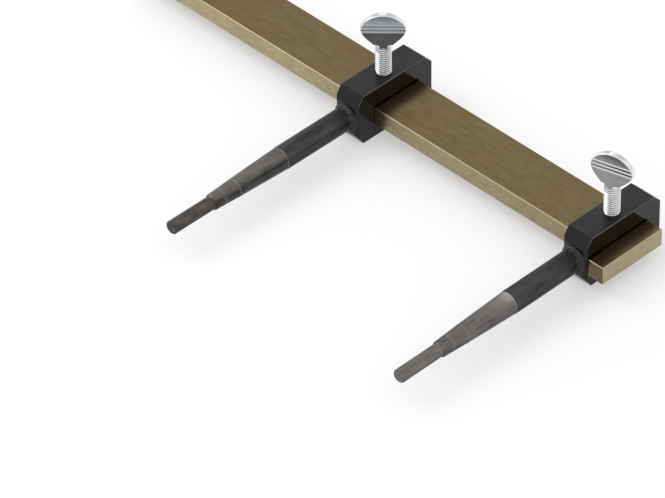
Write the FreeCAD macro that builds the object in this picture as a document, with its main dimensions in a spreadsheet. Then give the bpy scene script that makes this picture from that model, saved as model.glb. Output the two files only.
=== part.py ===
import FreeCAD, Part

import math
import os

import Sketcher

# Holder for a brake caliper: a flat bar carries two clamps that slide along it.
# Each clamp is a closed frame round the bar, with a turned arm welded to its front.
# The pin at the end of each arm goes into a caliper's ear, and a thumb screw in the
# top of each frame locks it on the bar.
# X runs along the bar, towards its stop end. Y runs from the pins to the bar. Z is up.

doc = FreeCAD.newDocument("caliper_holder")
sheet = doc.addObject("Spreadsheet::Sheet", "Sizes")
sheet.Label = "Sizes"

SIZES = [
    ("bar_length", 320.0, "whole length of the flat bar"),
    ("bar_width", 30.0, "width of the bar between its stop and its plain end"),
    ("bar_thickness", 10.0, "thickness of the bar"),
    ("bar_edge_break", 0.4, "small chamfer on the bar's edges"),
    ("stop_depth", 10.0, "how far the stop stands out in front of the bar"),
    ("stop_length", 9.0, "length of the stop along the bar"),
    ("stop_gap", 0.6, "gap between the stop and the right clamp at rest"),
    ("clamp_spacing", 149.0, "distance between the two clamps at rest"),
    ("frame_width", 15.0, "width of a clamp's frame along the bar"),
    ("side_clearance", 0.3, "clearance in front of and behind the bar in a frame"),
    ("seat_clearance", 0.05, "clearance under the bar in a frame"),
    ("top_gap", 1.0, "gap over the bar in a frame"),
    ("bottom_wall", 7.8, "wall under the bar"),
    ("top_wall", 9.7, "wall over the bar, which holds the thumb screw"),
    ("back_wall", 9.0, "wall behind the bar"),
    ("front_wall", 11.1, "wall in front of the bar, which carries the arm"),
    ("back_chamfer", 4.5, "chamfer on the two back corners of a frame"),
    ("nose_setback", 4.3, "how far the nose slopes back at its top and bottom"),
    ("nose_drop", 6.2, "height of each slope on the nose"),
    ("nose_chamfer", 1.4, "chamfer on the two upright edges of the nose"),
    ("rim_round", 0.5, "rounding of a frame's outer edges"),
    ("arm_root_diameter", 12.15, "arm's diameter at the frame"),
    ("arm_middle_diameter", 12.1, "arm's diameter where its turned end begins"),
    ("arm_taper_diameter", 9.8, "arm's diameter at the end of its long taper"),
    ("collar_diameter", 8.3, "diameter of the slim collar where it meets the pin"),
    ("pin_diameter", 7.0, "diameter of the pin"),
    ("arm_plain_length", 43.5, "length of the arm from the frame to its turned end"),
    ("arm_taper_length", 30.5, "length of the arm's long taper"),
    ("collar_length", 15.5, "length of the slim collar, which tapers on to the pin"),
    ("collar_lead", 0.8, "short cone from the collar down to the pin"),
    ("pin_length", 25.5, "length of the pin"),
    ("pin_chamfer", 0.6, "chamfer at the end of the pin"),
    ("weld_leg", 1.35, "width of the weld's foot on the frame"),
    ("weld_reach", 5.5, "length of the weld along the arm"),
    ("weld_depth", 2.0, "how far the weld wraps back round the nose's chamfers"),
    ("screw_offset", 1.0, "how far the screw stands in front of the bar's middle"),
    ("thread_diameter", 8.0, "outer diameter of the thumb screw's thread"),
    ("thread_clearance", 0.05, "clearance between the thread and its hole, each side"),
    ("tip_gap", 0.1, "gap between the screw's tip and the bar"),
    ("tip_chamfer", 0.8, "chamfer at the screw's tip"),
    ("thread_above", 13.0, "length of thread that stands out over the frame"),
    ("neck_diameter", 7.4, "diameter of the screw's plain neck"),
    ("neck_length", 3.55, "length of the screw's plain neck"),
    ("head_width", 22.0, "width of the thumb screw's spade head"),
    ("head_height", 17.8, "height of the spade head over the neck"),
    ("head_end_radius", 5.0, "radius of the spade head's two round ends"),
    ("head_thickness", 3.7, "thickness of the spade head's grip"),
    ("press_drop", 0.6, "how far the pressed faces run down on the neck"),
    ("wedge_height", 7.2, "height of the crease between the wedge and the grip"),
    ("neck_rise", 1.6, "how far the round neck runs up into the head"),
    ("ridge_pitch", 2.1, "spacing of the ridges on the grip"),
    ("ridge_depth", 0.35, "depth of the grooves between the ridges"),
    ("ridge_width", 0.9, "width of each groove between the ridges"),
    ("left_screw_angle", 44.0, "rest angle of the left screw's head, from the bar"),
    ("right_screw_angle", 16.0, "rest angle of the right screw's head, from the bar"),
]
GROOVES_PER_FACE = 3
SMALLEST_CUT = 1.0  # cubic millimetres that any cut takes away at least

for row, (alias, value, meaning) in enumerate(SIZES, start=1):
    sheet.set(f"A{row}", alias)
    sheet.set(f"B{row}", str(value))
    sheet.set(f"C{row}", meaning)
    sheet.setAlias(f"B{row}", alias)
doc.recompute()

# Lengths that follow from the sizes, written the way the sheet's users write them.
FRAME_HEIGHT = (
    "(Sizes.bottom_wall + Sizes.seat_clearance + Sizes.bar_thickness"
    " + Sizes.top_gap + Sizes.top_wall)"
)
FRAME_BACK = "(Sizes.bar_width / 2 + Sizes.side_clearance + Sizes.back_wall)"
FRAME_FRONT = "(Sizes.bar_width / 2 + Sizes.side_clearance + Sizes.front_wall)"
ARM_LENGTH = (
    "(Sizes.arm_plain_length + Sizes.arm_taper_length"
    " + Sizes.collar_length + Sizes.pin_length)"
)
BAR_LINE = f"(({FRAME_FRONT} + {ARM_LENGTH} - {FRAME_BACK}) / 2)"
BAR_BOTTOM = "(Sizes.bottom_wall + Sizes.seat_clearance)"
RIGHT_CLAMP = (
    "(Sizes.bar_length / 2 - Sizes.stop_length - Sizes.stop_gap - Sizes.frame_width / 2)"
)
LEFT_CLAMP = f"({RIGHT_CLAMP} - Sizes.clamp_spacing)"
SCREW_TIP = f"({BAR_BOTTOM} + Sizes.bar_thickness + Sizes.tip_gap)"
THREAD_LENGTH = f"({FRAME_HEIGHT} + Sizes.thread_above - {SCREW_TIP})"
HEAD_BASE = f"({THREAD_LENGTH} + Sizes.neck_length)"
HEAD_MIDDLE = f"({HEAD_BASE} + Sizes.head_height / 2)"
# The head is widest at half its height. The centre of its crown's arc lies below that by
# this drop, so that the crown runs smoothly into the two round ends.
SPARE_WIDTH = "(Sizes.head_width / 2 - Sizes.head_end_radius)"
SPARE_HEIGHT = "(Sizes.head_height / 2 - Sizes.head_end_radius)"
CROWN_DROP = f"(({SPARE_WIDTH} ^ 2 - {SPARE_HEIGHT} ^ 2) / (2 * {SPARE_HEIGHT}))"
CROWN_RADIUS = f"(Sizes.head_height / 2 + {CROWN_DROP})"


def size(expression):
    """Value of an expression of the sheet's sizes, as a plain number."""
    value = sheet.evalExpression(expression)
    return float(getattr(value, "Value", value))


def bind(feature, **expressions):
    """Tie properties of a feature to expressions of the sheet's sizes."""
    for name, expression in expressions.items():
        feature.setExpression(name, expression)


def new_body(label):
    """Empty body whose label names its file."""
    body = doc.addObject("PartDesign::Body", label)
    body.Label = label
    return body


def new_sketch(body, label, role, height=None):
    """Sketch on one of the body's origin planes, lifted along its normal by a height."""
    sketch = body.newObject("Sketcher::SketchObject", label)
    plane = next(item for item in body.Origin.OriginFeatures if item.Role == role)
    sketch.AttachmentSupport = [(plane, "")]
    sketch.MapMode = "FlatFace"
    if height:
        sketch.setExpression("AttachmentOffset.Base.z", height)
    return sketch


def fix_point(sketch, geometry, end, across, up):
    """Hold one point of a sketch at two expressions from the sketch's origin."""
    for kind, expression in (("DistanceX", across), ("DistanceY", up)):
        index = sketch.addConstraint(
            Sketcher.Constraint(kind, -1, 1, geometry, end, size(expression))
        )
        sketch.setExpression(f"Constraints[{index}]", expression)


def fix_radius(sketch, geometry, expression):
    """Hold the radius of an arc or a circle at an expression."""
    index = sketch.addConstraint(Sketcher.Constraint("Radius", geometry, size(expression)))
    sketch.setExpression(f"Constraints[{index}]", expression)


def draw_polygon(sketch, corners):
    """Closed outline of straight lines through corners given as expressions."""
    points = [FreeCAD.Vector(size(across), size(up), 0) for across, up in corners]
    lines = []
    for start, end in zip(points, points[1:] + points[:1]):
        lines.append(sketch.addGeometry(Part.LineSegment(start, end), False))
    for line, following in zip(lines, lines[1:] + lines[:1]):
        sketch.addConstraint(Sketcher.Constraint("Coincident", line, 2, following, 1))
    for line, (across, up) in zip(lines, corners):
        fix_point(sketch, line, 1, across, up)


def edges_where(feature, wanted):
    """Names of the feature's edges whose end points and middle all pass a test."""
    names = []
    for index, edge in enumerate(feature.Shape.Edges, start=1):
        middle = edge.valueAt((edge.FirstParameter + edge.LastParameter) / 2)
        points = [vertex.Point for vertex in edge.Vertexes] + [middle]
        if all(wanted(point) for point in points):
            names.append(f"Edge{index}")
    return names


def dress_edges(body, kind, label, base, names, **expressions):
    """Fillet or chamfer on named edges of the body's last feature."""
    feature = body.newObject(f"PartDesign::{kind}", label)
    feature.Base = (base, names)
    bind(feature, **expressions)
    doc.recompute()
    return feature


def near(value, target):
    """True where two lengths agree within the model's precision."""
    return abs(value - target) < 1e-4


def make_bar():
    """Flat bar with a stop that stands out at its right end."""
    body = new_body("bar")
    outline = new_sketch(body, "bar_outline", "XY_Plane")
    back = "Sizes.bar_width / 2"
    front = "-Sizes.bar_width / 2"
    stop_front = f"{front} - Sizes.stop_depth"
    end = "Sizes.bar_length / 2"
    stop_start = f"{end} - Sizes.stop_length"
    draw_polygon(outline, [
        (f"-{end}", front),
        (stop_start, front),
        (stop_start, stop_front),
        (end, stop_front),
        (end, back),
        (f"-{end}", back),
    ])
    pad = body.newObject("PartDesign::Pad", "bar_plate")
    pad.Profile = outline
    bind(pad, Length="Sizes.bar_thickness")
    doc.recompute()
    heights = (0.0, size("Sizes.bar_thickness"))
    flat = edges_where(pad, lambda point: any(near(point.z, height) for height in heights))
    dress_edges(body, "Chamfer", "bar_edges", pad, flat, Size="Sizes.bar_edge_break")
    bind(body, **{"Placement.Base.y": BAR_LINE, "Placement.Base.z": BAR_BOTTOM})
    return body


def make_frame(side, along):
    """Closed frame round the bar, with a sloped nose and a hole for the thumb screw."""
    body = new_body(f"{side}_clamp_frame")
    outline = new_sketch(body, f"{side}_frame_outline", "YZ_Plane")
    draw_polygon(outline, [
        (f"-{FRAME_FRONT}", "Sizes.nose_drop"),
        (f"-{FRAME_FRONT} + Sizes.nose_setback", "0"),
        (f"{FRAME_BACK} - Sizes.back_chamfer", "0"),
        (FRAME_BACK, "Sizes.back_chamfer"),
        (FRAME_BACK, f"{FRAME_HEIGHT} - Sizes.back_chamfer"),
        (f"{FRAME_BACK} - Sizes.back_chamfer", FRAME_HEIGHT),
        (f"-{FRAME_FRONT} + Sizes.nose_setback", FRAME_HEIGHT),
        (f"-{FRAME_FRONT}", f"{FRAME_HEIGHT} - Sizes.nose_drop"),
    ])
    block = body.newObject("PartDesign::Pad", f"{side}_frame_block")
    block.Profile = outline
    block.SideType = "Symmetric"
    bind(block, Length="Sizes.frame_width")
    doc.recompute()

    half = size("Sizes.frame_width") / 2
    front = -size(FRAME_FRONT)

    def on_nose_edge(point):
        return near(abs(point.x), half) and near(point.y, front)

    upright = edges_where(block, on_nose_edge)
    nose = dress_edges(
        body, "Chamfer", f"{side}_nose_edges", block, upright, Size="Sizes.nose_chamfer"
    )

    def on_rim(point):
        return near(abs(point.x), half)

    rim_edges = edges_where(nose, on_rim)
    rim = dress_edges(
        body, "Fillet", f"{side}_frame_rim", nose, rim_edges, Radius="Sizes.rim_round"
    )

    window_outline = new_sketch(body, f"{side}_window_outline", "YZ_Plane")
    reach = "(Sizes.bar_width / 2 + Sizes.side_clearance)"
    ceiling = f"{FRAME_HEIGHT} - Sizes.top_wall"
    draw_polygon(window_outline, [
        (f"-{reach}", "Sizes.bottom_wall"),
        (reach, "Sizes.bottom_wall"),
        (reach, ceiling),
        (f"-{reach}", ceiling),
    ])
    window = body.newObject("PartDesign::Pocket", f"{side}_window")
    window.Profile = window_outline
    window.SideType = "Symmetric"
    bind(window, Length="Sizes.frame_width * 2")
    doc.recompute()
    check_cut(rim, window)

    hole_circle = new_sketch(body, f"{side}_hole_circle", "XY_Plane", FRAME_HEIGHT)
    centre = FreeCAD.Vector(0, -size("Sizes.screw_offset"), 0)
    radius = "Sizes.thread_diameter / 2 + Sizes.thread_clearance"
    circle = hole_circle.addGeometry(
        Part.Circle(centre, FreeCAD.Vector(0, 0, 1), size(radius)), False
    )
    fix_point(hole_circle, circle, 3, "0", "-Sizes.screw_offset")
    fix_radius(hole_circle, circle, radius)
    hole = body.newObject("PartDesign::Pocket", f"{side}_screw_hole")
    hole.Profile = hole_circle
    bind(hole, Length="Sizes.top_wall + Sizes.top_gap / 2")
    doc.recompute()
    check_cut(window, hole)
    bind(body, **{"Placement.Base.x": along, "Placement.Base.y": BAR_LINE})
    return body


def check_cut(before, after):
    """Stop if a cut took nothing away."""
    if after.Shape.Volume > before.Shape.Volume - SMALLEST_CUT:
        raise RuntimeError(f"{after.Label} cuts nothing")


def revolve(body, sketch, label):
    """Full turn of a half outline about the upright axis of its sketch."""
    feature = body.newObject("PartDesign::Revolution", label)
    feature.Profile = sketch
    feature.ReferenceAxis = (sketch, ["V_Axis"])
    feature.Angle = 360.0
    doc.recompute()
    return feature


def make_arm(side, along):
    """Turned arm: plain length, long taper, collar and pin, from the frame outwards."""
    body = new_body(f"{side}_arm")
    outline = new_sketch(body, f"{side}_arm_outline", "XY_Plane")
    taper_start = "-Sizes.arm_plain_length"
    taper_end = f"{taper_start} - Sizes.arm_taper_length"
    collar_end = f"{taper_end} - Sizes.collar_length"
    tip = f"{collar_end} - Sizes.pin_length"
    pin_radius = "Sizes.pin_diameter / 2"
    draw_polygon(outline, [
        ("0", "0"),
        ("Sizes.arm_root_diameter / 2", "0"),
        ("Sizes.arm_middle_diameter / 2", taper_start),
        ("Sizes.arm_taper_diameter / 2", taper_end),
        ("Sizes.collar_diameter / 2", f"{collar_end} + Sizes.collar_lead"),
        (pin_radius, collar_end),
        (pin_radius, f"{tip} + Sizes.pin_chamfer"),
        (f"{pin_radius} - Sizes.pin_chamfer", tip),
        ("0", tip),
    ])
    revolve(body, outline, f"{side}_arm_turning")
    bind(body, **{
        "Placement.Base.x": along,
        "Placement.Base.y": f"{BAR_LINE} - {FRAME_FRONT}",
        "Placement.Base.z": f"{FRAME_HEIGHT} / 2",
    })
    return body


def make_weld(side, along, frame):
    """Weld between arm and frame: a hollow fillet that fills the nose's chamfers."""
    ring = new_body(f"{side}_weld_ring")
    outline = new_sketch(ring, f"{side}_weld_outline", "XY_Plane")
    bore = "Sizes.arm_root_diameter / 2"
    foot = f"({bore} + Sizes.weld_leg)"
    toe = "-Sizes.weld_reach"
    heel = "Sizes.weld_depth"
    corners = [(bore, toe), (bore, heel), (foot, heel), (foot, "0")]
    points = [FreeCAD.Vector(size(across), size(up), 0) for across, up in corners]
    lines = []
    for start, end in zip(points, points[1:]):
        lines.append(outline.addGeometry(Part.LineSegment(start, end), False))
    # The face of the weld is a hollow arc from its foot that runs out along the arm.
    face_radius = "(Sizes.weld_leg ^ 2 + Sizes.weld_reach ^ 2) / (2 * Sizes.weld_leg)"
    radius = size(face_radius)
    centre = points[0] + FreeCAD.Vector(radius, 0, 0)
    foot_angle = math.atan2(points[3].y - centre.y, points[3].x - centre.x)
    circle = Part.Circle(centre, FreeCAD.Vector(0, 0, 1), radius)
    face = outline.addGeometry(Part.ArcOfCircle(circle, foot_angle, math.pi), False)
    for line, following in zip(lines, lines[1:]):
        outline.addConstraint(Sketcher.Constraint("Coincident", line, 2, following, 1))
    outline.addConstraint(Sketcher.Constraint("Coincident", lines[2], 2, face, 1))
    outline.addConstraint(Sketcher.Constraint("Coincident", lines[0], 1, face, 2))
    for line, (across, up) in zip(lines, corners):
        fix_point(outline, line, 1, across, up)
    fix_point(outline, lines[2], 2, *corners[3])
    fix_radius(outline, face, face_radius)
    revolve(ring, outline, f"{side}_weld_turning")
    bind(ring, **{
        "Placement.Base.x": along,
        "Placement.Base.y": f"{BAR_LINE} - {FRAME_FRONT}",
        "Placement.Base.z": f"{FRAME_HEIGHT} / 2",
    })
    weld = doc.addObject("Part::Cut", f"{side}_arm_weld")
    weld.Label = f"{side}_arm_weld"
    weld.Base = ring
    weld.Tool = frame
    doc.recompute()
    return weld


def draw_head(sketch):
    """Outline of the spade head: a crown, two round ends and straight shoulders."""
    across = size(SPARE_WIDTH)
    middle = size(HEAD_MIDDLE)
    drop = size(CROWN_DROP)
    crown = size(CROWN_RADIUS)
    end = size("Sizes.head_end_radius")
    neck = size("Sizes.neck_diameter / 2")
    base = size(HEAD_BASE)
    turn = math.atan2(drop, across)
    # Each shoulder rises from the neck's side and runs smoothly into the round end.
    run = math.hypot(across - neck, middle - base)
    slope = math.atan2(middle - base, across - neck) - math.asin(end / run)
    low = slope - math.pi / 2
    meet = (across + end * math.cos(low), middle + end * math.sin(low))

    def arc(x, z, radius, first, last):
        circle = Part.Circle(FreeCAD.Vector(x, z, 0), FreeCAD.Vector(0, 0, 1), radius)
        return sketch.addGeometry(Part.ArcOfCircle(circle, first, last), False)

    def line(start, finish):
        segment = Part.LineSegment(FreeCAD.Vector(*start, 0), FreeCAD.Vector(*finish, 0))
        return sketch.addGeometry(segment, False)

    right = arc(across, middle, end, low, turn)
    top = arc(0, middle - drop, crown, turn, math.pi - turn)
    left = arc(-across, middle, end, math.pi - turn, math.pi - low)
    left_shoulder = line((-meet[0], meet[1]), (-neck, base))
    foot = line((-neck, base), (neck, base))
    right_shoulder = line((neck, base), meet)
    smooth = ((right, top), (top, left), (left, left_shoulder), (right_shoulder, right))
    for first, second in smooth:
        sketch.addConstraint(Sketcher.Constraint("Tangent", first, 2, second, 1))
    for first, second in ((left_shoulder, foot), (foot, right_shoulder)):
        sketch.addConstraint(Sketcher.Constraint("Coincident", first, 2, second, 1))
    fix_point(sketch, right, 3, SPARE_WIDTH, HEAD_MIDDLE)
    fix_point(sketch, left, 3, f"-{SPARE_WIDTH}", HEAD_MIDDLE)
    fix_point(sketch, foot, 1, "-Sizes.neck_diameter / 2", HEAD_BASE)
    fix_point(sketch, foot, 2, "Sizes.neck_diameter / 2", HEAD_BASE)
    fix_radius(sketch, top, CROWN_RADIUS)
    for end_arc in (right, left):
        fix_radius(sketch, end_arc, "Sizes.head_end_radius")


def make_screw(side, along, angle):
    """Thumb screw: thread, plain neck and a flat spade head with ridges on its grip."""
    body = new_body(f"{side}_thumb_screw")
    shank_outline = new_sketch(body, f"{side}_shank_outline", "XZ_Plane")
    thread_radius = "Sizes.thread_diameter / 2"
    neck_radius = "Sizes.neck_diameter / 2"
    step = f"({thread_radius} - {neck_radius})"
    draw_polygon(shank_outline, [
        ("0", "0"),
        (f"{thread_radius} - Sizes.tip_chamfer", "0"),
        (thread_radius, "Sizes.tip_chamfer"),
        (thread_radius, f"{THREAD_LENGTH} - {step}"),
        (neck_radius, THREAD_LENGTH),
        (neck_radius, f"{HEAD_BASE} + Sizes.neck_rise"),
        ("0", f"{HEAD_BASE} + Sizes.wedge_height"),
    ])
    shank = revolve(body, shank_outline, f"{side}_shank")

    head_outline = new_sketch(body, f"{side}_head_outline", "XZ_Plane")
    draw_head(head_outline)
    head = body.newObject("PartDesign::Pad", f"{side}_head_blank")
    head.Profile = head_outline
    head.SideType = "Symmetric"
    bind(head, Length="Sizes.neck_diameter")
    doc.recompute()

    # Both faces are pressed in: a wedge up from the neck, then the thin grip.
    press_outline = new_sketch(body, f"{side}_press_outline", "YZ_Plane")
    grip = "Sizes.head_thickness / 2"
    press_start = f"{HEAD_BASE} - Sizes.press_drop"
    crease = f"{HEAD_BASE} + Sizes.wedge_height"
    clear_side = "Sizes.neck_diameter"
    clear_top = f"{HEAD_BASE} + Sizes.head_height + Sizes.head_thickness"
    for sign in ("", "-"):
        draw_polygon(press_outline, [
            (f"{sign}{neck_radius}", press_start),
            (f"{sign}{grip}", crease),
            (f"{sign}{grip}", clear_top),
            (f"{sign}{clear_side}", clear_top),
            (f"{sign}{clear_side}", press_start),
        ])
    press = body.newObject("PartDesign::Pocket", f"{side}_pressed_faces")
    press.Profile = press_outline
    press.SideType = "Symmetric"
    bind(press, Length="Sizes.head_width * 2")
    doc.recompute()
    check_cut(head, press)

    # A row of grooves on each face leaves the ridges of the grip.
    groove_outline = new_sketch(body, f"{side}_groove_outline", "YZ_Plane")
    first = f"{crease} + Sizes.ridge_width"
    floor = f"({grip} - Sizes.ridge_depth)"
    lip = f"({grip} + Sizes.ridge_depth)"
    for sign in ("", "-"):
        draw_polygon(groove_outline, [
            (f"{sign}{floor}", f"{first}"),
            (f"{sign}{lip}", f"{first} + Sizes.ridge_width"),
            (f"{sign}{lip}", f"{first} - Sizes.ridge_width"),
        ])
    groove = body.newObject("PartDesign::Pocket", f"{side}_groove")
    groove.Profile = groove_outline
    groove.SideType = "Symmetric"
    bind(groove, Length="Sizes.head_width * 2")
    doc.recompute()
    grooves = body.newObject("PartDesign::LinearPattern", f"{side}_grooves")
    grooves.Originals = [groove]
    grooves.Direction = (groove_outline, ["V_Axis"])
    grooves.Mode = "Spacing"
    grooves.Occurrences = GROOVES_PER_FACE
    bind(grooves, Offset="Sizes.ridge_pitch")
    body.Tip = grooves
    doc.recompute()
    check_cut(press, grooves)
    bind(body, **{
        "Placement.Base.x": along,
        "Placement.Base.y": f"{BAR_LINE} - Sizes.screw_offset",
        "Placement.Base.z": SCREW_TIP,
        "Placement.Rotation.Angle": angle,
    })
    return body


pieces = [make_bar()]
for side, along, angle in (
    ("left", LEFT_CLAMP, "Sizes.left_screw_angle"),
    ("right", RIGHT_CLAMP, "Sizes.right_screw_angle"),
):
    frame = make_frame(side, along)
    pieces.append(frame)
    pieces.append(make_arm(side, along))
    pieces.append(make_weld(side, along, frame))
    pieces.append(make_screw(side, along, angle))

doc.recompute()
for item in doc.Objects:
    if "Invalid" in item.State or "Error" in item.State:
        raise RuntimeError(f"{item.Label} failed: {item.State}")
for piece in pieces:
    if piece.Shape.isNull() or not piece.Shape.isValid():
        raise RuntimeError(f"{piece.Label} has no sound shape")

os.makedirs("parts", exist_ok=True)
for piece in pieces:
    piece.Shape.exportStep(f"parts/{piece.Label}.step")
    box = piece.Shape.optimalBoundingBox()
    print(
        f"{piece.Label}: {len(piece.Shape.Solids)} solid, volume {piece.Shape.Volume:.1f},"
        f" x {box.XMin:.2f} {box.XMax:.2f}, y {box.YMin:.2f} {box.YMax:.2f},"
        f" z {box.ZMin:.2f} {box.ZMax:.2f}"
    )
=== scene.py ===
import math

import bmesh
import bpy
import numpy as np
from mathutils import Matrix, Vector, noise


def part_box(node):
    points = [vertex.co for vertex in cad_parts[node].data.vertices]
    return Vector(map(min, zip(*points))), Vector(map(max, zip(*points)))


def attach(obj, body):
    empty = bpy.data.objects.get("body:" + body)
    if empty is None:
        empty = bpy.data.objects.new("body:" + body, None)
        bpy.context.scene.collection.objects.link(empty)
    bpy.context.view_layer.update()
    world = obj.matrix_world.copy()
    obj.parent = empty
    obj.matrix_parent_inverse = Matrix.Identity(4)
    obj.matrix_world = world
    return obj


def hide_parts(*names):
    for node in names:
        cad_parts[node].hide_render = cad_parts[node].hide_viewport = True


# Holder for a brake caliper, dressed for its picture. Lengths are in metres.
# X runs along the bar towards its stop end, Y from the pins to the bar, and Z is up.

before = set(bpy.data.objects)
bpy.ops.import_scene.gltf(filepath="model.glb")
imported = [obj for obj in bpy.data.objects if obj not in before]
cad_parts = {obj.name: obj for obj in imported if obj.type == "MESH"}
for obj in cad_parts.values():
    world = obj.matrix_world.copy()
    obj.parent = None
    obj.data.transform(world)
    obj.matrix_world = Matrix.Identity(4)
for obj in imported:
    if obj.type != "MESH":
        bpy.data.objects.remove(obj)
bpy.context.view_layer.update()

MM = 0.001
SIDES = ("left", "right")

# All shapes below are in millimetres and degrees.

# Arms: lengths from the frame on, radii, and the scribed rings.
ARM_SEGMENTS = 96
ARM_PLAIN = 43.5
ARM_TAPER = 30.5
ARM_COLLAR = 15.5
ARM_PIN = 25.5
ARM_ROOT_RADIUS = 6.075
ARM_MIDDLE_RADIUS = 6.05
ARM_STEP = 0.12
ARM_TAPER_RADIUS = 4.9
COLLAR_RADIUS = 4.8
COLLAR_END_RADIUS = 4.15
COLLAR_LEAD = 0.8
COLLAR_RING = 9.0
RING_HALF_WIDTH = 0.2
RING_DEPTH = 0.06
PIN_RADIUS = 3.5
PIN_CHAMFER = 0.6
SKIN = 0.03
BOUNDARY_RING = 0.4

# Thread of the screws.
THREAD_RADIUS = 4.0
THREAD_PITCH = 1.25
THREAD_DEPTH = 0.62
THREAD_CREST_SHARE = 0.14
THREAD_FLANK_SHARE = 0.66
THREAD_ROWS_PER_TURN = 12
TIP_CHAMFER = 0.8
THREAD_LENGTH = 26.3
THREAD_FADE = 0.6
RUN_OUT_LENGTH = 2.9
RUN_OUT_SHARE = 0.4

# Neck and spade head of the screws.
SCREW_COLUMNS = 44
SCREW_ANGLES = {"left": 44.0, "right": 16.0}
NECK_RADIUS = 3.7
NECK_HEIGHTS = (-1.0, -0.8)
NECK_START = -0.6
NECK_STEP = 0.15
NECK_ROWS = 10
NECK_CORNER_POWER = 4
HEAD_WIDTH = 22.0
HEAD_HEIGHT = 17.4
HEAD_END_RADIUS = 5.0
HEAD_ROUND = 0.65
OUTLINE_START = 0.6
GRIP_THICKNESS = 3.7
PRESS_DROP = 0.6
WEDGE_HEIGHT = 7.2
WEDGE_ROWS = 26
FLANK_HEIGHT = 1.4
SHOULDER_START = 0.2
SHOULDER_END = 8.9
SHOULDER_POWER = 1.08
RIDGE_COUNT = 3
RIDGE_PITCH = 2.1
RIDGE_DEPTH = 0.3
RIDGE_WIDTH = 0.95
RIDGE_STEEPNESS = 1.25
RIDGE_ROWS = 60
CROWN_ROWS = 40
NUB_RISE = 0.4
NUB_REACH = 2.3
NUB_THICKNESS = 1.3
NUB_SINK = 0.35
NUB_COLUMNS = 24
NUB_ROWS = 10

# Welds: fillet, beads laid round the arm, and uneven lumps.
WELD_SEGMENTS = 156
WELD_ROWS = 18
WELD_LEG = 1.35
WELD_REACH = 5.5
WELD_HOLLOW = 1.35
WELD_SINK = 0.1
WELD_DEPTH = 2.0
WELD_BEADS = 13
WELD_BEAD_WAVE = 0.35
WELD_BEAD_SLANT = 0.6
WELD_LUMP = 0.22
WELD_LUMP_ROUND = 2.1
WELD_LUMP_ALONG = 1.3
WELD_LEG_SPREAD = 0.35
WELD_REACH_SHARE = 0.86
WELD_REACH_SPREAD = 0.45

# Heights over the crease of a head where its tones change.
UPPER_SIDES_LOW = 5.2
UPPER_SIDES_HIGH = 5.8
CRESCENT_LOW = 5.4
CRESCENT_HIGH = 8.8
NUB_SHINE = 10.28
TONE_FADE = 0.1

# Heights over a head's lowest point where the thread's tones end and the head's start, and
# radii of the thread between which roots with painted shade turn to bright crests.
HEAD_TONE_LOW = -0.7
HEAD_TONE_HIGH = -0.5
CREST_TONE_LOW = 3.4
CREST_TONE_HIGH = 3.9

# Tones along an arm: darker root by the weld, line between black and steel, painted light on
# the steel by that line, painted light fading along the taper, start of the pin, and painted
# shine of the rings.
ROOT_DARK_LOW = 4.0
ROOT_DARK_HIGH = 17.0
ROOT_DARK_SHARE = 0.8
LINE_WOBBLE = 0.8
LINE_FADE = 0.15
LIT_START_REACH = 8.0
TAPER_REACH = 45.0
PIN_FADE = 0.2
RING_TONE_NEAR = 0.1
RING_TONE_FAR = 0.6
RING_TONE_SHARE = 0.22

# Tones of the bar: where along it painted shade darkens the side, and how deep the stop's front
# lies, which carries painted shade too.
SIDE_SHADE_START = -190.0
SIDE_SHADE_END = 170.0
STOP_TONE_LOW = 38.0
STOP_TONE_HIGH = 35.0

# Light, and the camera at the photograph's viewing angle, in metres and degrees.
WORLD_LIGHT = 0.88
FLOOR_TONE = 0.6
FLOOR_GLOW = 0.42
LAMP_PLACE = (-1.2, -0.6, 1.4)
LAMP_WIDTH = 1.0
LAMP_POWER = 7.0
CAMERA_TURN = 45.757
CAMERA_TILT = 40.190
CAMERA_ROLL = -0.817
CAMERA_AIM = (0.0200, -0.00351, -0.03081)
CAMERA_DISTANCE = 2.759
CAMERA_LENS = 314.29


def add_piece(name, vertices, faces, material, body, replaced, sharp=35.0):
    """Mesh piece that rides on a body, wears a material and stands for CAD nodes."""
    mesh = bpy.data.meshes.new(name)
    mesh.from_pydata([tuple(vertex) for vertex in vertices], [], faces)
    shell = bmesh.new()
    shell.from_mesh(mesh)
    bmesh.ops.remove_doubles(shell, verts=shell.verts, dist=1e-7)
    bmesh.ops.dissolve_degenerate(shell, edges=shell.edges, dist=1e-7)
    shell.to_mesh(mesh)
    shell.free()
    mesh.shade_smooth()
    mesh.set_sharp_from_angle(angle=math.radians(sharp))
    mesh.materials.append(material)
    piece = bpy.data.objects.new(name, mesh)
    bpy.context.scene.collection.objects.link(piece)
    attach(piece, body)
    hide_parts(*replaced)


def ring_faces(rows, columns):
    """Quads between closed rings of points, one ring after another."""
    faces = []
    for row in range(rows - 1):
        for column in range(columns):
            following = (column + 1) % columns
            low, high = row * columns, (row + 1) * columns
            faces.append((low + column, low + following, high + following, high + column))
    return faces


def close_ends(vertices, faces, columns):
    """Close the first and last ring of a tube with a fan round a middle point."""
    count = len(vertices)
    first_ring = vertices[:columns]
    last_ring = vertices[count - columns:]
    vertices.append(sum(first_ring, Vector()) / columns)
    vertices.append(sum(last_ring, Vector()) / columns)
    for column in range(columns):
        following = (column + 1) % columns
        faces.append((count, following, column))
        last = count - columns
        faces.append((count + 1, last + column, last + following))


def smooth_step(value):
    """Smooth rise from 0 to 1 while the value goes from 0 to 1."""
    value = min(1.0, max(0.0, value))
    return value * value * (3.0 - 2.0 * value)


# Materials


def new_material(name, metallic, ior=1.5):
    """Empty node material with its shader and object coordinates."""
    material = bpy.data.materials.new(name)
    material.use_nodes = True
    nodes = material.node_tree.nodes
    shader = nodes["Principled BSDF"]
    shader.inputs["Metallic"].default_value = metallic
    shader.inputs["IOR"].default_value = ior
    place = nodes.new("ShaderNodeTexCoord").outputs["Object"]
    return material, shader, place


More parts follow.
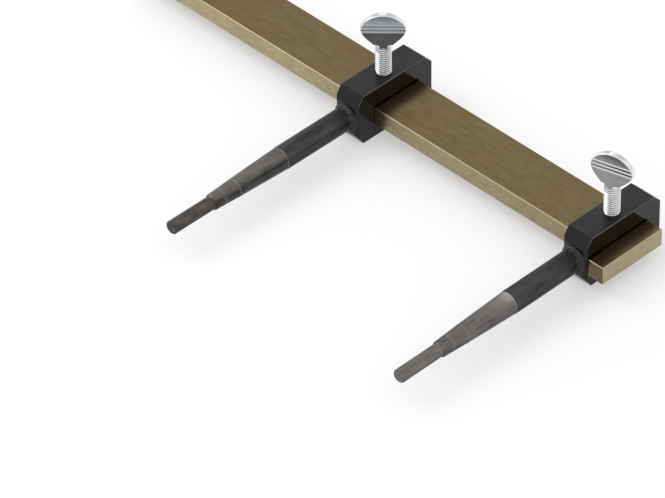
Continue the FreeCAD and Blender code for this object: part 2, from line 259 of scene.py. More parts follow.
class Nodes:
    """Short calls that add nodes to one material."""

    def __init__(self, material):
        self.nodes = material.node_tree.nodes
        self.links = material.node_tree.links

    def feed(self, socket, value):
        """Connect a socket to another, or set it to a plain value."""
        if isinstance(value, bpy.types.NodeSocket):
            self.links.new(value, socket)
        else:
            socket.default_value = value

    def noise(self, place, scale, stretch=(1, 1, 1), detail=3.0, rough=0.5):
        """Noise whose pattern is stretched along the axes."""
        mapping = self.nodes.new("ShaderNodeMapping")
        mapping.inputs["Scale"].default_value = stretch
        self.links.new(place, mapping.inputs["Vector"])
        texture = self.nodes.new("ShaderNodeTexNoise")
        texture.inputs["Scale"].default_value = scale
        texture.inputs["Detail"].default_value = detail
        texture.inputs["Roughness"].default_value = rough
        self.links.new(mapping.outputs["Vector"], texture.inputs["Vector"])
        return texture.outputs["Fac"]

    def spread(self, value, low, high, to_low=0.0, to_high=1.0):
        """Carry a value from one range smoothly to another."""
        node = self.nodes.new("ShaderNodeMapRange")
        node.interpolation_type = "SMOOTHSTEP"
        node.inputs["From Min"].default_value = low
        node.inputs["From Max"].default_value = high
        node.inputs["To Min"].default_value = to_low
        node.inputs["To Max"].default_value = to_high
        self.feed(node.inputs["Value"], value)
        return node.outputs["Result"]

    def math(self, operation, first, second=0.0):
        """One sum, product or other operation on two values."""
        node = self.nodes.new("ShaderNodeMath")
        node.operation = operation
        self.feed(node.inputs[0], first)
        self.feed(node.inputs[1], second)
        return node.outputs["Value"]

    def weigh(self, first, first_share, second, second_share):
        """Sum of two values, each times its share."""
        return self.math(
            "ADD",
            self.math("MULTIPLY", first, first_share),
            self.math("MULTIPLY", second, second_share),
        )

    def blend(self, factor, first, second):
        """Mix of two colours."""
        node = self.nodes.new("ShaderNodeMix")
        node.data_type = "RGBA"
        self.feed(node.inputs["Factor"], factor)
        self.feed(node.inputs["A"], first)
        self.feed(node.inputs["B"], second)
        return node.outputs["Result"]

    def axes(self, vector):
        """The three axes of a vector, each by itself."""
        node = self.nodes.new("ShaderNodeSeparateXYZ")
        self.links.new(vector, node.inputs["Vector"])
        return node.outputs["X"], node.outputs["Y"], node.outputs["Z"]

    def facing(self):
        """How far the surface faces along each axis, whichever way."""
        coordinates = self.nodes.new("ShaderNodeTexCoord")
        return [
            self.math("ABSOLUTE", axis) for axis in self.axes(coordinates.outputs["Normal"])
        ]

    def bump(self, shader, height, strength, distance):
        """Fine relief on the shader's surface."""
        node = self.nodes.new("ShaderNodeBump")
        node.inputs["Strength"].default_value = strength
        node.inputs["Distance"].default_value = distance
        self.links.new(height, node.inputs["Height"])
        self.links.new(node.outputs["Normal"], shader.inputs["Normal"])


def rgb(red, green, blue):
    """Linear colour from the values 0 to 255 that a screen shows."""
    channels = []
    for value in (red, green, blue):
        share = value / 255.0
        channels.append(
            share / 12.92 if share <= 0.04045 else ((share + 0.055) / 1.055) ** 2.4
        )
    return (*channels, 1.0)


# Colours of the materials.

# Bar: top, sides painted lighter than the top, painted shade on the side and the stop's front,
# and a painted highlight on the edges.
BRASS_TOP_DARK = rgb(112, 97, 67)
BRASS_TOP_LIGHT = rgb(132, 117, 85)
BRASS_TOP_WORN = rgb(118, 99, 66)
BRASS_SIDE_LIT_DARK = rgb(158, 144, 113)
BRASS_SIDE_LIT_LIGHT = rgb(182, 169, 139)
BRASS_SIDE_PATCH = rgb(200, 187, 156)
BRASS_SIDE_WORN = rgb(156, 139, 104)
BRASS_SIDE_SHADED = rgb(112, 98, 70)
BRASS_STOP_FRONT_SHADE = rgb(108, 94, 66)
BRASS_EDGE_HIGHLIGHT = rgb(184, 169, 130)

# Clamp frames, with painted shade on the front and side faces and a painted highlight on the
# rims.
BLACK_DARK = rgb(23, 24, 27)
BLACK_LIGHT = rgb(33, 34, 37)
BLACK_SCUFF = rgb(66, 67, 70)
BLACK_FRONT_SHADE = rgb(15, 16, 18)
BLACK_SIDE_SHADE = rgb(7, 7, 8)
BLACK_RIM_HIGHLIGHT = rgb(104, 104, 106)

# Arms and welds.
STEEL_GLINT = rgb(150, 147, 144)
STEEL_DULL = rgb(52, 50, 49)
STEEL_SHADE = rgb(46, 44, 43)
COAT_DARK = rgb(56, 58, 58)
COAT_LIGHT = rgb(78, 80, 77)
COAT_SHADE = rgb(32, 34, 36)
COAT_ROOT = rgb(34, 35, 38)
RING_SHINE = rgb(162, 158, 154)
WELD_DARK = rgb(22, 23, 25)
WELD_LIGHT = rgb(46, 47, 50)

# Screws; the crown's grey is painted shade and the nub's white a painted highlight.
ZINC_DARK = rgb(222, 224, 226)
ZINC_LIGHT = rgb(242, 243, 244)
ZINC_CROWN_SHADE = rgb(206, 208, 210)
ZINC_NUB_HIGHLIGHT = rgb(250, 250, 250)
ZINC_CREST = rgb(236, 238, 240)

# Screen tones of each arm: first steel by the black, the taper's start and end, its lower
# flank, and the pin. They are painted light and shade; the left arm's darker tones are painted
# shade.
ARM_LIT_AND_SHADED_TONES = {
    "left": ((92, 89, 87), (104, 101, 98), (104, 101, 98), (40, 38, 37), (70, 64, 61)),
    "right": ((170, 166, 163), (126, 122, 119), (92, 89, 87), (96, 93, 91), (110, 107, 104)),
}

# Screen tones of each screw: wedge, grip, grooves, upper sides of the ridges, top of the
# crescent and roots of the thread. All are painted reflection and shade, so the two screws
# differ.
SCREW_LIT_AND_SHADED_TONES = {
    "left": (
        (84, 84, 84), (155, 159, 162), (171, 174, 176),
        (174, 178, 181), (128, 132, 136), (124, 126, 128),
    ),
    "right": (
        (148, 150, 149), (150, 152, 152), (118, 119, 121),
        (226, 228, 230), (112, 111, 114), (160, 162, 164),
    ),
}


def brass_material():
    """Olive brass with grain brushed along the bar. Its sides are lighter with painted light,
    its edges carry a painted highlight, and painted shade darkens the side and the stop's front.
    """
    material, shader, place = new_material("bar_brass_brushed", metallic=1.0)
    tree = Nodes(material)
    grain = tree.noise(place, 1.0, (30, 2600, 2600), detail=4.0, rough=0.62)
    mottle = tree.noise(place, 1.0, (160, 420, 420), detail=4.0, rough=0.6)
    cloud = tree.noise(place, 34.0, detail=3.0)
    worn = tree.spread(cloud, 0.35, 0.7)
    tone = tree.weigh(grain, 0.45, mottle, 0.55)
    shade = tree.spread(tone, 0.3, 0.7)
    top = tree.blend(shade, BRASS_TOP_DARK, BRASS_TOP_LIGHT)
    top = tree.blend(tree.math("MULTIPLY", worn, 0.35), top, BRASS_TOP_WORN)
    along, depth, _ = tree.axes(place)
    _, front, up = tree.facing()
    fronts = tree.spread(front, 0.6, 0.9)
    patches = tree.noise(place, 1.0, (320, 320, 520), detail=4.0, rough=0.6)
    patches = tree.math("MULTIPLY", tree.spread(patches, 0.36, 0.64), fronts)
    # Painted light: the sides are lighter than the top.
    side = tree.blend(shade, BRASS_SIDE_LIT_DARK, BRASS_SIDE_LIT_LIGHT)
    side = tree.blend(tree.math("MULTIPLY", patches, 0.5), side, BRASS_SIDE_PATCH)
    side = tree.blend(tree.math("MULTIPLY", worn, 0.3), side, BRASS_SIDE_WORN)
    # Painted shade: the front side darkens along the bar towards the stop end.
    darkening = tree.spread(along, SIDE_SHADE_START * MM, SIDE_SHADE_END * MM)
    shaded = tree.math("MULTIPLY", darkening, fronts)
    side = tree.blend(tree.math("MULTIPLY", shaded, 0.5), side, BRASS_SIDE_SHADED)
    # Painted shade on the front face of the stop.
    stop = tree.spread(depth, STOP_TONE_LOW * MM, STOP_TONE_HIGH * MM)
    stop_front_shade = tree.math("MULTIPLY", stop, fronts)
    side = tree.blend(tree.math("MULTIPLY", stop_front_shade, 0.9), side, BRASS_STOP_FRONT_SHADE)
    level = tree.spread(up, 0.75, 0.95)
    colour = tree.blend(level, side, top)
    # Painted highlight along the bar's edges.
    edge_highlight = tree.math("MULTIPLY", tree.spread(up, 0.3, 0.6), tree.spread(up, 0.95, 0.8))
    colour = tree.blend(tree.math("MULTIPLY", edge_highlight, 0.7), colour, BRASS_EDGE_HIGHLIGHT)
    tree.links.new(colour, shader.inputs["Base Color"])
    rough = tree.spread(tone, 0.3, 0.7, 0.32, 0.24)
    tree.links.new(rough, shader.inputs["Roughness"])
    tree.bump(shader, tone, 0.2, 0.00006)
    return material


def black_material():
    """Blackened steel with a soft sheen, faint scuffs and fine pitting. Painted shade darkens
    its front and side faces, and its rims carry a painted highlight.
    """
    material, shader, place = new_material("black_steel_satin", metallic=0.0, ior=1.42)
    tree = Nodes(material)
    pits = tree.noise(place, 1500.0, detail=3.0)
    cloud = tree.noise(place, 90.0, detail=4.0)
    scuffs = tree.noise(place, 1.0, (420, 120, 420), detail=5.0, rough=0.6)
    colour = tree.blend(tree.spread(cloud, 0.3, 0.7), BLACK_DARK, BLACK_LIGHT)
    scuffed = tree.math("MULTIPLY", tree.spread(scuffs, 0.56, 0.74), 0.6)
    colour = tree.blend(scuffed, colour, BLACK_SCUFF)
    across, front, up = tree.facing()
    # Painted shade on the front faces.
    colour = tree.blend(tree.spread(front, 0.4, 0.65), colour, BLACK_FRONT_SHADE)
    # Painted shade on the faces across the bar; the same mask also makes them smoother.
    flat = tree.spread(across, 0.8, 0.98)
    colour = tree.blend(flat, colour, BLACK_SIDE_SHADE)
    # Painted highlight on the rims.
    rim_highlight = tree.math("MULTIPLY", tree.spread(across, 0.25, 0.5), tree.spread(up, 0.25, 0.5))
    colour = tree.blend(tree.math("MULTIPLY", rim_highlight, 0.7), colour, BLACK_RIM_HIGHLIGHT)
    tree.links.new(colour, shader.inputs["Base Color"])
    shader.inputs["Specular IOR Level"].default_value = 0.41
    rough = tree.spread(cloud, 0.3, 0.7, 0.27, 0.36)
    rough = tree.math("SUBTRACT", rough, tree.math("MULTIPLY", flat, 0.17))
    tree.links.new(rough, shader.inputs["Roughness"])
    height = tree.math("ADD", pits, tree.math("MULTIPLY", cloud, 2.0))
    tree.bump(shader, height, 0.16, 0.0001)
    return material


def arm_material(name, root, boundary, rings, pin_start, tones):
    """Arm that is black near the frame and bare turned steel from its taper on. Its tones carry
    painted light and shade: a lit start of the steel, a shaded lower flank and far side, and a
    painted shine on the rings.
    """
    lit_start, near, far, flank, tip = tones
    material, shader, place = new_material(name, metallic=0.9)
    tree = Nodes(material)
    _, along, _ = tree.axes(place)
    lines = tree.noise(place, 1.0, (60, 5200, 60), detail=3.0, rough=0.6)
    streaks = tree.noise(place, 1.0, (500, 90, 500), detail=3.0)
    cloud = tree.noise(place, 1.0, (190, 45, 190), detail=5.0, rough=0.6)
    tone = tree.weigh(lines, 0.5, streaks, 0.5)
    mottle = tree.spread(tone, 0.35, 0.65)
    coordinates = tree.nodes.new("ShaderNodeTexCoord")
    across, _, up = tree.axes(coordinates.outputs["Normal"])
    below = tree.math("MULTIPLY", tree.spread(up, 0.35, -0.35), 0.65)
    beyond = tree.math("MULTIPLY", tree.spread(across, -0.1, -0.66), 0.35)
    shade = tree.math("MAXIMUM", below, beyond)
    # Painted light fading along the taper from the black towards the collar.
    taper = tree.spread(along, boundary - TAPER_REACH * MM, boundary)
    steel = tree.blend(taper, rgb(*far), rgb(*near))
    # Painted light: the steel just past the black is lit brighter.
    start = tree.spread(along, boundary - LIT_START_REACH * MM, boundary)
    steel = tree.blend(start, steel, rgb(*lit_start))
    # Painted shade on the lower flank.
    aside = tree.math("MULTIPLY", tree.spread(up, 0.94, 0.45), tree.spread(across, 0.0, 0.4))
    steel = tree.blend(aside, steel, rgb(*flank))
    pin = tree.spread(along, pin_start + PIN_FADE * MM, pin_start - PIN_FADE * MM)
    steel = tree.blend(pin, steel, rgb(*tip))
    glint = tree.math("MULTIPLY", mottle, 0.3)
    steel = tree.blend(glint, steel, STEEL_GLINT)
    dull = tree.math("MULTIPLY", tree.spread(tone, 0.5, 0.3), 0.5)
    steel = tree.blend(dull, steel, STEEL_DULL)
    steel = tree.blend(shade, steel, STEEL_SHADE)
    black = tree.blend(tree.spread(cloud, 0.35, 0.65), COAT_DARK, COAT_LIGHT)
    # The coat is darker towards the weld.
    root_darkening = tree.spread(along, root - ROOT_DARK_HIGH * MM, root - ROOT_DARK_LOW * MM)
    root_darkening = tree.math("MULTIPLY", root_darkening, ROOT_DARK_SHARE)
    black = tree.blend(root_darkening, black, COAT_ROOT)
    black = tree.blend(shade, black, COAT_SHADE)
    wobble = tree.math("MULTIPLY", tree.math("SUBTRACT", cloud, 0.5), LINE_WOBBLE * MM)
    line = tree.math("ADD", along, wobble)
    coated = tree.spread(line, boundary - LINE_FADE * MM, boundary + LINE_FADE * MM)
    colour = tree.blend(coated, steel, black)
    for place_y in rings:
        apart = tree.math("ABSOLUTE", tree.math("SUBTRACT", line, place_y))
        shine = tree.spread(apart, RING_TONE_FAR * MM, RING_TONE_NEAR * MM)
        shine = tree.math("MULTIPLY", shine, RING_TONE_SHARE)
        colour = tree.blend(shine, colour, RING_SHINE)
    tree.links.new(colour, shader.inputs["Base Color"])
    rough = tree.spread(tone, 0.3, 0.7, 0.42, 0.3)
    tree.links.new(rough, shader.inputs["Roughness"])
    tree.bump(shader, tone, 0.1, 0.00004)
    return material


def weld_material():
    """Dark burnt steel of the weld, with a duller and rougher skin."""
    material, shader, place = new_material("weld_steel_dark", metallic=0.25)
    tree = Nodes(material)
    grit = tree.noise(place, 1400.0, detail=4.0, rough=0.65)
    cloud = tree.noise(place, 260.0, detail=4.0)
    colour = tree.blend(tree.spread(cloud, 0.35, 0.65), WELD_DARK, WELD_LIGHT)
    tree.links.new(colour, shader.inputs["Base Color"])
    rough = tree.spread(grit, 0.3, 0.7, 0.36, 0.5)
    tree.links.new(rough, shader.inputs["Roughness"])
    tree.bump(shader, tree.math("ADD", grit, cloud), 0.3, 0.0002)
    return material


def zinc_material(name, axis, angle, base, crease, tones):
    """Bright zinc plating, greyer on the pressed faces than on rims, ridges and thread. The
    greys are painted reflection and shade, and the nub carries a painted highlight.
    """
    wedge, grip, groove, ridge, crescent, root = tones
    material, shader, place = new_material(name, metallic=1.0)
    tree = Nodes(material)
    marks = tree.noise(place, 1.0, (700, 700, 160), detail=3.0)
    cloud = tree.noise(place, 320.0, detail=4.0)
    tone = tree.weigh(marks, 0.5, cloud, 0.5)
    mottle = tree.spread(tone, 0.35, 0.65)
    bright = tree.blend(mottle, ZINC_DARK, ZINC_LIGHT)
    coordinates = tree.nodes.new("ShaderNodeTexCoord")
    turn_x, turn_y, lean = tree.axes(coordinates.outputs["Normal"])
    flank = tree.math("MULTIPLY", turn_x, math.cos(angle))
    flank = tree.math("ADD", flank, tree.math("MULTIPLY", turn_y, math.sin(angle)))
    flank = tree.math("ABSOLUTE", flank)
    across, out, height = tree.axes(place)
    # Painted reflection and shade: the grip face and its crescent are greyer than the bright
    # zinc.
    grip_face = tree.blend(mottle, rgb(*grip), rgb(*(value + 10 for value in grip)))
    field = tree.spread(height, crease + CRESCENT_LOW * MM, crease + CRESCENT_HIGH * MM)
    grip_face = tree.blend(field, grip_face, rgb(*crescent))
    # Painted light on faces that tilt up, painted reflection and shade on faces that tilt down.
    above = tree.spread(height, crease + UPPER_SIDES_LOW * MM, crease + UPPER_SIDES_HIGH * MM)
    upper = tree.blend(above, rgb(*ridge), bright)
    grip_face = tree.blend(tree.spread(lean, 0.05, 0.5), grip_face, upper)
    grip_face = tree.blend(tree.spread(lean, -0.05, -0.4), grip_face, rgb(*groove))
    # Painted shade on the wedge, lighter with painted light where it faces up.
    wedge_face = tree.blend(mottle, rgb(*wedge), rgb(*(value + 8 for value in wedge)))
    wedge_face = tree.blend(tree.spread(lean, 0.35, 0.7), wedge_face, bright)
    above = tree.spread(height, crease - TONE_FADE * MM, crease + TONE_FADE * MM)
    head = tree.blend(above, wedge_face, grip_face)
    head = tree.blend(tree.spread(flank, 0.3, 0.6), head, bright)
    # Painted shade: the crown's top is a little greyer.
    top = tree.math("MULTIPLY", tree.spread(lean, 0.8, 0.95), above)
    head = tree.blend(top, head, ZINC_CROWN_SHADE)
    # Painted highlight on the nub.
    nub_highlight = tree.spread(height, crease + NUB_SHINE * MM, crease + (NUB_SHINE + TONE_FADE) * MM)
    head = tree.blend(nub_highlight, head, ZINC_NUB_HIGHLIGHT)
    aside = tree.math("SUBTRACT", across, axis.x)
    outward = tree.math("SUBTRACT", out, axis.y)
    squares = tree.math("MULTIPLY", aside, aside)
    squares = tree.math("ADD", squares, tree.math("MULTIPLY", outward, outward))
    radius = tree.math("SQRT", squares)
    # Painted shade in the thread's roots, which stay darker than the crests.
    crest = tree.spread(radius, CREST_TONE_LOW * MM, CREST_TONE_HIGH * MM)
    thread = tree.blend(crest, rgb(*root), ZINC_CREST)
    pressed = tree.spread(height, base + HEAD_TONE_LOW * MM, base + HEAD_TONE_HIGH * MM)
    tree.links.new(tree.blend(pressed, thread, head), shader.inputs["Base Color"])
    rough = tree.spread(tone, 0.3, 0.7, 0.4, 0.3)
    tree.links.new(rough, shader.inputs["Roughness"])
    tree.bump(shader, tone, 0.12, 0.00006)
    return material


# Arms and welds


def arm_profile():
    """Distance from the frame and radius of the arm's outline, from frame to tip."""
    taper_end = ARM_PLAIN + ARM_TAPER
    collar_end = taper_end + ARM_COLLAR
    tip = collar_end + ARM_PIN
    ring = taper_end + COLLAR_RING
    ring_share = COLLAR_RING / (ARM_COLLAR - COLLAR_LEAD)
    ring_radius = COLLAR_RADIUS + (COLLAR_END_RADIUS - COLLAR_RADIUS) * ring_share
    return [
        (0.0, ARM_ROOT_RADIUS),
        (ARM_PLAIN - 0.25, ARM_MIDDLE_RADIUS),
        (ARM_PLAIN, ARM_MIDDLE_RADIUS - ARM_STEP),
        (ARM_PLAIN + 0.3, ARM_MIDDLE_RADIUS - ARM_STEP),
        (taper_end - 0.5, ARM_TAPER_RADIUS - 0.02),
        (taper_end - 0.35, ARM_TAPER_RADIUS),
        (taper_end, ARM_TAPER_RADIUS),
        (taper_end + RING_HALF_WIDTH, COLLAR_RADIUS),
        (ring - RING_HALF_WIDTH, ring_radius),
        (ring - RING_HALF_WIDTH / 2, ring_radius - RING_DEPTH),
        (ring + RING_HALF_WIDTH / 2, ring_radius - RING_DEPTH),
        (ring + RING_HALF_WIDTH, ring_radius - 0.01),
        (collar_end - COLLAR_LEAD, COLLAR_END_RADIUS - SKIN),
        (collar_end, PIN_RADIUS - SKIN),
        (tip - PIN_CHAMFER, PIN_RADIUS - SKIN),
        (tip - PIN_CHAMFER * 0.75, PIN_RADIUS - 0.07),
        (tip, PIN_RADIUS - 0.55),
    ]


def make_arm(side, material):
    """Turned arm from the frame to the tip of its pin."""
    low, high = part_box(f"{side}_arm")
    middle_x = (low.x + high.x) / 2
    middle_z = (low.z + high.z) / 2
    vertices = []
    profile = arm_profile()
    for along, radius in profile:
        for column in range(ARM_SEGMENTS):
            angle = -2.0 * math.pi * column / ARM_SEGMENTS
            across = radius * MM * math.cos(angle)
            up = radius * MM * math.sin(angle)
            vertices.append(Vector((middle_x + across, high.y - along * MM, middle_z + up)))
    faces = ring_faces(len(profile), ARM_SEGMENTS)
    faces = [tuple(reversed(face)) for face in faces]
    close_ends(vertices, faces, ARM_SEGMENTS)
    fixed = [tuple(reversed(face)) if len(face) == 3 else face for face in faces]
    add_piece(
        f"{side}_arm_turned", vertices, fixed, material,
        f"{side}_clamp", [f"{side}_arm"], sharp=28.0,
    )


def make_weld(side, material):
    """Lumpy fillet of weld, laid in beads round the root of the arm."""
    low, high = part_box(f"{side}_arm")
    centre = Vector(((low.x + high.x) / 2, high.y, (low.z + high.z) / 2))
    vertices = []
    for row in range(WELD_ROWS + 1):
        share = row / WELD_ROWS
        turn = share * math.pi / 2
        for column in range(WELD_SEGMENTS):
            angle = 2.0 * math.pi * column / WELD_SEGMENTS
            lean = math.sin(angle * 2.0) * WELD_BEAD_WAVE + turn * WELD_BEAD_SLANT
            bead = abs(math.sin(WELD_BEADS * angle / 2 + lean))
            swirl = Vector((
                math.cos(angle) * WELD_LUMP_ROUND,
                math.sin(angle) * WELD_LUMP_ROUND,
                share * WELD_LUMP_ALONG,
            ))
            lump = noise.noise(swirl) * 0.5
            swell = math.sin(share * math.pi) * WELD_LUMP * (bead - 0.5 + lump * 2.0)
            leg = WELD_LEG * (1.0 + lump * WELD_LEG_SPREAD)
            reach = WELD_REACH * (WELD_REACH_SHARE + lump * WELD_REACH_SPREAD)
            rise = leg * (1.0 - math.cos(turn)) ** WELD_HOLLOW
            out = ARM_ROOT_RADIUS - WELD_SINK + rise + swell
            along = reach * (1.0 - math.sin(turn)) + swell * 0.5
            out = min(out, ARM_ROOT_RADIUS + WELD_LEG)
            vertices.append(centre + MM * Vector((
                out * math.cos(angle), -along, out * math.sin(angle),
            )))
    for out in (ARM_ROOT_RADIUS + WELD_LEG * 0.9, ARM_ROOT_RADIUS - 0.6):
        for column in range(WELD_SEGMENTS):
            angle = 2.0 * math.pi * column / WELD_SEGMENTS
            vertices.append(centre + MM * Vector((
                out * math.cos(angle), WELD_DEPTH, out * math.sin(angle),
            )))
    rows = WELD_ROWS + 3
    faces = ring_faces(rows, WELD_SEGMENTS)
    last = (rows - 1) * WELD_SEGMENTS
    for column in range(WELD_SEGMENTS):
        following = (column + 1) % WELD_SEGMENTS
        faces.append((last + column, last + following, following, column))
    add_piece(
        f"{side}_weld_bead", vertices, faces, material,
        f"{side}_clamp", [f"{side}_arm_weld"], sharp=60.0,
    )


# Thumb screws


def thread_radius(turn_share):
    """Radius of the thread at a share of one pitch: crest, flank, root and flank."""
    wave = abs((turn_share % 1.0) - 0.5) * 2.0
    flank = min(1.0, max(0.0, (wave - THREAD_CREST_SHARE) / THREAD_FLANK_SHARE))
    return THREAD_RADIUS - THREAD_DEPTH * flank


def oval_half_width(height):
    """Half width of the head's oval at a height over its lowest point."""
    across = HEAD_WIDTH / 2 - HEAD_END_RADIUS
    spare = HEAD_HEIGHT / 2 - HEAD_END_RADIUS
    drop = (across ** 2 - spare ** 2) / (2 * spare)
    crown = HEAD_HEIGHT / 2 + drop
    rise = abs(height - HEAD_HEIGHT / 2)
    meet = HEAD_END_RADIUS * drop / math.hypot(drop, across)
    if rise < meet:
        return across + math.sqrt(HEAD_END_RADIUS ** 2 - rise ** 2)
    return math.sqrt(max(0.0, crown ** 2 - (rise + drop) ** 2))


def screw_half_width(height):
    """Half width of the neck and head, which run smoothly into each other."""
    if height > HEAD_HEIGHT / 2:
        return oval_half_width(height)
    share = (height - SHOULDER_START) / (SHOULDER_END - SHOULDER_START)
    share = min(1.0, max(0.0, share))
    spread = math.sin(math.pi / 2 * share) ** SHOULDER_POWER
    return NECK_RADIUS + (HEAD_WIDTH / 2 - NECK_RADIUS) * spread


def face_depth(height):
    """Half thickness between the pressed faces: wedge, crease and ridges."""
    grip = GRIP_THICKNESS / 2
    if height < WEDGE_HEIGHT:
        share = (height + PRESS_DROP) / (WEDGE_HEIGHT + PRESS_DROP)
        return NECK_RADIUS + (grip - NECK_RADIUS) * max(0.0, share)
    groove = 0.0
    for ridge in range(RIDGE_COUNT):
        middle = WEDGE_HEIGHT + RIDGE_WIDTH + ridge * RIDGE_PITCH
        groove = max(groove, 1.0 - abs(height - middle) / RIDGE_WIDTH)
    if height > middle:
        groove = 1.0
    return grip - RIDGE_DEPTH * smooth_step(groove * RIDGE_STEEPNESS)


def outline_gap(across, height, starts, ends):
    """Distance from a point of the face to the head's outline."""
    point = np.array((abs(across), height))
    runs = ends - starts
    lengths = np.maximum((runs ** 2).sum(axis=1), 1e-12)
    shares = np.clip(((point - starts) * runs).sum(axis=1) / lengths, 0.0, 1.0)
    nearest = starts + runs * shares[:, None]
    return float(np.sqrt(((point - nearest) ** 2).sum(axis=1).min()))


def even_rows(start, end, count):
    """Heights in even steps after the start, up to the end."""
    return [start + (end - start) * row / count for row in range(1, count + 1)]


def head_heights():
    """Heights of the rows of neck and head, close at the ridges and at the crown."""
    heights = list(NECK_HEIGHTS)
    heights += [NECK_START + NECK_STEP * row for row in range(NECK_ROWS)]
    heights += even_rows(heights[-1], WEDGE_HEIGHT, WEDGE_ROWS)
    ridge_end = WEDGE_HEIGHT + RIDGE_COUNT * RIDGE_PITCH
    heights += even_rows(WEDGE_HEIGHT, ridge_end, RIDGE_ROWS)
    rest = HEAD_HEIGHT - ridge_end
    for share in even_rows(0.0, 1.0, CROWN_ROWS):
        heights.append(ridge_end + rest * math.sin(math.pi / 2 * share))
    return heights


def head_ring(height, starts, ends):
    """Section of neck or head at a height: points round the screw's axis."""
    half = screw_half_width(height)
    flank = smooth_step(height / FLANK_HEIGHT)
    depth = face_depth(height)
    section = []
    for column in range(SCREW_COLUMNS + 1):
        across = math.cos(math.pi * column / SCREW_COLUMNS) * half
        gap = outline_gap(across, height, starts, ends)
        inside = min(gap, HEAD_ROUND)
        rounding = HEAD_ROUND - math.sqrt(HEAD_ROUND ** 2 - (HEAD_ROUND - inside) ** 2)
        round_neck = math.sqrt(max(0.0, NECK_RADIUS ** 2 - across ** 2))
        plate = NECK_RADIUS * flank
        corner = round_neck ** NECK_CORNER_POWER + plate ** NECK_CORNER_POWER
        free = corner ** (1.0 / NECK_CORNER_POWER)
        section.append((across, min(depth - rounding * flank, free)))
    ring = [(half, 0.0)] + section + [(-half, 0.0)]
    ring += [(across, -out) for across, out in reversed(section)]
    return ring


def thread_ring(height):
    """Section of the thread at a height over the screw's tip."""
    left = THREAD_LENGTH - height
    deep = smooth_step((left - RUN_OUT_LENGTH) / THREAD_FADE)
    fade = RUN_OUT_SHARE + (1.0 - RUN_OUT_SHARE) * deep
    fade *= smooth_step(left / THREAD_FADE)
    chamfer = THREAD_RADIUS - TIP_CHAMFER + height
    upper = [math.pi * column / SCREW_COLUMNS for column in range(SCREW_COLUMNS + 1)]
    angles = [0.0] + upper + [math.pi] + [-angle for angle in reversed(upper)]
    ring = []
    for angle in angles:
        turn = (angle / (2.0 * math.pi)) % 1.0
        winding = thread_radius(height / THREAD_PITCH - turn)
        radius = min(NECK_RADIUS + (winding - NECK_RADIUS) * fade, chamfer)
        ring.append((radius * math.cos(angle), radius * math.sin(angle)))
    return ring


def nub_shell():
    """Small round nub left on the crown: points from its middle, and faces."""
    points = []
    for row in range(NUB_ROWS + 1):
        lift = math.pi * row / NUB_ROWS - math.pi / 2
        for column in range(NUB_COLUMNS):
            turn = 2.0 * math.pi * column / NUB_COLUMNS
            across = NUB_REACH * math.cos(lift) * math.cos(turn)
            out = NUB_THICKNESS * math.cos(lift) * math.sin(turn)
            points.append((across, out, (NUB_RISE + NUB_SINK) * math.sin(lift)))
    return points, ring_faces(NUB_ROWS + 1, NUB_COLUMNS)


def make_screw(side, tones):
    """Thumb screw in one piece: thread, neck and pressed spade head."""
    low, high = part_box(f"{side}_thumb_screw")
    axis = Vector(((low.x + high.x) / 2, (low.y + high.y) / 2, 0.0))
    base = high.z - (HEAD_HEIGHT + NUB_RISE) * MM
    angle = math.radians(SCREW_ANGLES[side])
    turned = Matrix.Rotation(angle, 3, "Z")
    count = int(THREAD_LENGTH / THREAD_PITCH * THREAD_ROWS_PER_TURN)
    rings = []
    for row in range(count + 1):
        height = THREAD_LENGTH * row / count
        rings.append((low.z + height * MM, thread_ring(height)))
    heights = head_heights()
    shown = [height for height in heights if height > OUTLINE_START]
    outline = [(screw_half_width(height), height) for height in shown]
    starts, ends = np.array(outline[:-1]), np.array(outline[1:])
    for height in heights:
        rings.append((base + height * MM, head_ring(height, starts, ends)))
    vertices = []
    for level, ring in rings:
        for across, out in ring:
            place = turned @ Vector((across * MM, out * MM, 0.0))
            vertices.append(axis + place + Vector((0.0, 0.0, level)))
    columns = len(rings[0][1])
    faces = ring_faces(len(rings), columns)
    close_ends(vertices, faces, columns)
    points, nub_faces = nub_shell()
    first = len(vertices)
    faces += [tuple(first + corner for corner in face) for face in nub_faces]
    crown = axis + Vector((0.0, 0.0, high.z - (NUB_RISE + NUB_SINK) * MM))
    vertices += [crown + turned @ (Vector(point) * MM) for point in points]
    crease = base + WEDGE_HEIGHT * MM
    material = zinc_material(f"{side}_zinc_bright", axis, angle, base, crease, tones)
    add_piece(
        f"{side}_screw_forged", vertices, faces, material,
        f"{side}_screw", [f"{side}_thumb_screw"], sharp=32.0,
    )


# Floor, light and camera


def make_floor(half_side=6.0, level=-0.00002):
    """Plain pale floor that shows white to the eye and to metal, and keeps shadows."""
    mesh = bpy.data.meshes.new("floor")
    corners = [
        (-half_side, -half_side, level), (half_side, -half_side, level),
        (half_side, half_side, level), (-half_side, half_side, level),
    ]
    mesh.from_pydata(corners, [], [(0, 1, 2, 3)])
    material = bpy.data.materials.new("pale_floor")
    material.use_nodes = True
    tree = Nodes(material)
    shader = tree.nodes["Principled BSDF"]
    shader.inputs["Base Color"].default_value = (FLOOR_TONE, FLOOR_TONE, FLOOR_TONE, 1.0)
    shader.inputs["Roughness"].default_value = 0.9
    shader.inputs["Specular IOR Level"].default_value = 0.0
    shader.inputs["Emission Color"].default_value = (1.0, 1.0, 1.0, 1.0)
    path = tree.nodes.new("ShaderNodeLightPath")
    seen = tree.math("ADD", path.outputs["Is Camera Ray"], path.outputs["Is Glossy Ray"])
    seen = tree.math("MAXIMUM", seen, path.outputs["Is Transmission Ray"])
    glow = tree.math("MULTIPLY", tree.math("MINIMUM", seen, 1.0), FLOOR_GLOW)
    tree.links.new(glow, shader.inputs["Emission Strength"])
    mesh.materials.append(material)
    floor = bpy.data.objects.new("floor", mesh)
    bpy.context.scene.collection.objects.link(floor)


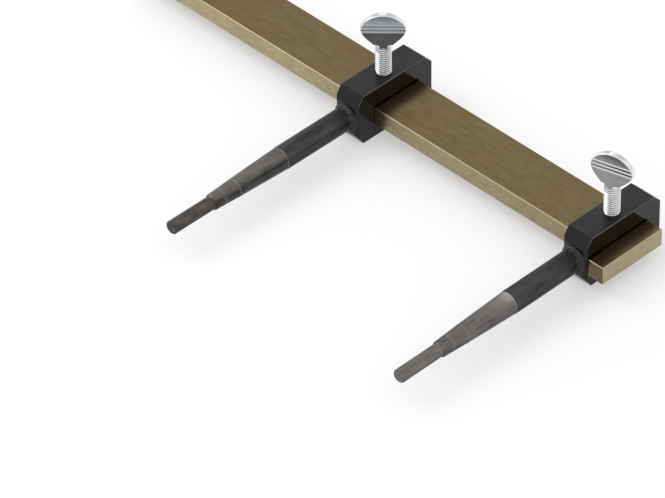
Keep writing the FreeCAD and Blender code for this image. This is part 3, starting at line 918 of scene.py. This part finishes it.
def make_world():
    """Even soft light from all round, white to the eye."""
    world = bpy.data.worlds.new("studio")
    bpy.context.scene.world = world
    world.use_nodes = True
    nodes, links = world.node_tree.nodes, world.node_tree.links
    background = nodes["Background"]
    background.inputs["Color"].default_value = (1.0, 1.0, 1.0, 1.0)
    path = nodes.new("ShaderNodeLightPath")
    strength = nodes.new("ShaderNodeMapRange")
    strength.inputs["To Min"].default_value = WORLD_LIGHT
    strength.inputs["To Max"].default_value = 1.0
    links.new(path.outputs["Is Camera Ray"], strength.inputs["Value"])
    links.new(strength.outputs["Result"], background.inputs["Strength"])


def make_lamp(name, place, target, width, power):
    """Wide soft lamp that looks at a target."""
    data = bpy.data.lights.new(name, "AREA")
    data.shape = "SQUARE"
    data.size = width
    data.energy = power
    lamp = bpy.data.objects.new(name, data)
    lamp.location = place
    lamp.rotation_euler = (Vector(target) - Vector(place)).to_track_quat("-Z", "Y").to_euler()
    bpy.context.scene.collection.objects.link(lamp)


def make_camera():
    """Camera at the photograph's viewing angle."""
    turn = math.radians(CAMERA_TURN)
    tilt = math.radians(CAMERA_TILT)
    roll = math.radians(CAMERA_ROLL)
    look = Vector((
        -math.sin(turn) * math.cos(tilt), math.cos(turn) * math.cos(tilt), -math.sin(tilt)
    ))
    right = Vector((math.cos(turn), math.sin(turn), 0.0))
    up = right.cross(look)
    rolled_right = right * math.cos(roll) + up * math.sin(roll)
    rolled_up = up * math.cos(roll) - right * math.sin(roll)
    data = bpy.data.cameras.new("camera")
    data.sensor_width = 36.0
    data.lens = CAMERA_LENS
    data.clip_start = 0.1
    data.clip_end = 50.0
    camera = bpy.data.objects.new("camera", data)
    basis = Matrix((rolled_right, rolled_up, -look)).transposed().to_4x4()
    camera.matrix_world = Matrix.Translation(Vector(CAMERA_AIM) - look * CAMERA_DISTANCE) @ basis
    bpy.context.scene.collection.objects.link(camera)
    bpy.context.scene.camera = camera


def dress_node(name, material):
    """Give a CAD node its material."""
    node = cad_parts[name]
    node.data.materials.clear()
    node.data.materials.append(material)


brass = brass_material()
black = black_material()
weld = weld_material()
dress_node("bar", brass)

arm_low, arm_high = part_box("left_arm")
boundary_y = arm_high.y - ARM_PLAIN * MM
pin_start_y = arm_low.y + ARM_PIN * MM
taper_end_y = boundary_y - ARM_TAPER * MM
rings_y = (boundary_y - BOUNDARY_RING * MM, taper_end_y, taper_end_y - COLLAR_RING * MM)
for side in SIDES:
    dress_node(f"{side}_clamp_frame", black)
    turned = arm_material(
        f"{side}_arm_turned_steel", arm_high.y, boundary_y, rings_y, pin_start_y,
        ARM_LIT_AND_SHADED_TONES[side],
    )
    make_arm(side, turned)
    make_weld(side, weld)
    make_screw(side, SCREW_LIT_AND_SHADED_TONES[side])

make_floor()
make_world()
make_lamp("side_left", LAMP_PLACE, (0, 0, 0), LAMP_WIDTH, LAMP_POWER)
make_camera()
bpy.context.scene.view_settings.view_transform = "Standard"
